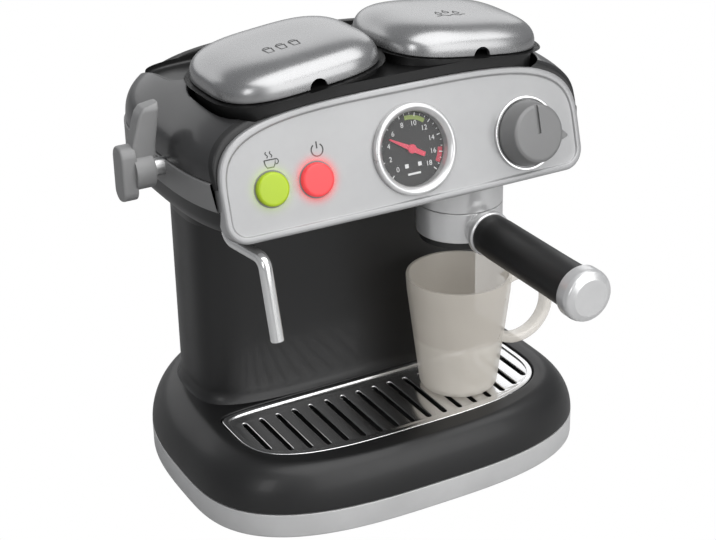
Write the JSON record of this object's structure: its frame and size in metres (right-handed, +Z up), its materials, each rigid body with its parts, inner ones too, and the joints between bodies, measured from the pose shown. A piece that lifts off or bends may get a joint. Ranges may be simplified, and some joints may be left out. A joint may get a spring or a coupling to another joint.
{
  "type": "toy coffee maker",
  "caption": "Battery toy espresso machine with water tank and pod lids, knob-worked spout, gauge, push buttons, steam wand and lever, turning filter handle, lift-out drip tray and cup.",
  "frame": {"origin": "under the base, midway between its sides and level with its widest line, at the height the feet stand on", "axes": "+Z up, the front with the controls faces -Y, +X to the machine's side with the spout"},
  "size_m": [0.2185, 0.2232, 0.2181],
  "materials": {
    "dark_case": "satin dark plastic",
    "silver_plastic": "pale silver paint, semi-gloss",
    "base_silver": "grey silver paint, satin",
    "band_grey": "mid grey, satin",
    "deck_black": "black, glossy",
    "bright_trim": "vacuum-plated plastic, bright",
    "group_silver": "silver paint with a soft sheen",
    "knob_grey": "mid grey, satin",
    "black_grip": "black, satin",
    "grille_chrome": "plated, bright",
    "pan_black": "black, matte",
    "dial_face": "black with printed marks",
    "needle_red": "red, matte",
    "clear_lens": "clear, polished",
    "green_cap": "translucent lime, glossy",
    "red_cap": "translucent red, glossy",
    "cup_smoke": "smoky see-through plastic",
    "tank_clear": "clear blue-tinted plastic",
    "board_green": "green circuit board",
    "switch_black": "black",
    "led_body": "clear lamp",
    "speaker_black": "black, matte",
    "cell_wrap": "plain green wrap",
    "spring_steel": "bright steel",
    "screw_steel": "zinc-plated steel",
    "valve_white": "natural white plastic",
    "tube_clear": "milky soft tube",
    "foot_rubber": "black rubber"
  },
  "bodies": {
    "case": {"feet": "foot_rubber", "base_plate": "base_silver", "base_shell": "dark_case", "column_shell": "dark_case", "rear_cover": "dark_case", "head_lower_shell": "dark_case", "side_band": "band_grey", "head_upper_shell": "dark_case", "top_deck": "deck_black", "control_panel": "silver_plastic", "gauge_bezel": "bright_trim", "gauge_dial": "dial_face", "gauge_lens": "clear_lens", "knob_ring": "bright_trim", "valve_body": "valve_white", "circuit_board": "board_green", "tact_switches": "switch_black", "leds": "led_body", "speaker": "speaker_black", "battery_box": "pan_black", "batteries": "cell_wrap", "battery_contacts": "spring_steel", "battery_cover": "base_silver", "case_screws": "screw_steel", "water_tank": "tank_clear", "water_tube": "tube_clear", "pod_tray": "pan_black", "group_head": "group_silver", "spout_nozzle": "switch_black", "lever_bush": "valve_white", "wand_socket": "black_grip", "lid_hinge_pins": "spring_steel"},
    "pan": {"drip_pan": "pan_black"},
    "grille": {"drip_grille": "grille_chrome"},
    "beaker": {"cup": "cup_smoke"},
    "lid_left": {"left_lid": "silver_plastic"},
    "lid_right": {"right_lid": "silver_plastic"},
    "knob": {"control_knob": "knob_grey", "knob_shaft": "spring_steel", "valve_plug": "valve_white"},
    "needle": {"gauge_needle": "needle_red"},
    "button_green": {"green_button": "green_cap"},
    "button_red": {"red_button": "red_cap"},
    "lever": {"steam_lever": "knob_grey", "lever_shaft": "spring_steel"},
    "wand": {"steam_wand": "bright_trim"},
    "holder": {"filter_holder": "group_silver", "filter_basket": "black_grip", "handle_collar": "bright_trim", "filter_handle": "black_grip", "handle_end_cap": "bright_trim"}
  },
  "joints": [
    {"name": "drip_pan_lift", "type": "slide", "parent": "case", "child": "pan", "axis": [0, 0, 1], "range_m": [0, 0.007]},
    {"name": "drip_grille_lift", "type": "slide", "parent": "pan", "child": "grille", "axis": [0, 0, 1], "range_m": [0, 0.005]},
    {"name": "cup_slide", "type": "slide", "parent": "grille", "child": "beaker", "axis": [0, -0.9889, 0.1483], "range_m": [0, 0.04]},
    {"name": "left_lid_hinge", "type": "hinge", "parent": "case", "child": "lid_left", "pos_m": [-0.04066, 0.0378, 0.20409], "axis": [-0.994, 0, -0.1097], "range_deg": [0, 95]},
    {"name": "right_lid_hinge", "type": "hinge", "parent": "case", "child": "lid_right", "pos_m": [0.04066, 0.0378, 0.20409], "axis": [-0.994, 0, 0.1097], "range_deg": [0, 95]},
    {"name": "knob_turn", "type": "hinge", "parent": "case", "child": "knob", "pos_m": [0.0603, -0.03936, 0.16493], "axis": [0.0458, -0.9617, 0.2703], "range_deg": [-90, 90]},
    {"name": "needle_swing", "type": "hinge", "parent": "case", "child": "needle", "pos_m": [0.0018, -0.03963, 0.16906], "axis": [0.0014, -0.9627, 0.2706], "range_deg": [-180, 60]},
    {"name": "green_button_press", "type": "slide", "parent": "case", "child": "button_green", "axis": [0.0433, 0.9618, -0.2703], "range_m": [0, 0.0015], "stiffness_N_per_m": 250},
    {"name": "red_button_press", "type": "slide", "parent": "case", "child": "button_red", "axis": [0.0433, 0.9618, -0.2703], "range_m": [0, 0.0015], "stiffness_N_per_m": 250},
    {"name": "steam_lever_turn", "type": "hinge", "parent": "case", "child": "lever", "pos_m": [0, 0.0058, 0.1668], "axis": [1, 0, 0], "range_deg": [0, 80]},
    {"name": "steam_wand_swing", "type": "hinge", "parent": "case", "child": "wand", "pos_m": [-0.0776, -0.014, 0.147], "axis": [0, 0, 1], "range_deg": [-35, 35]},
    {"name": "filter_holder_turn", "type": "hinge", "parent": "case", "child": "holder", "pos_m": [0.038, -0.019, 0.1224], "axis": [0, 0, 1], "range_deg": [-45, 0]}
  ]
}
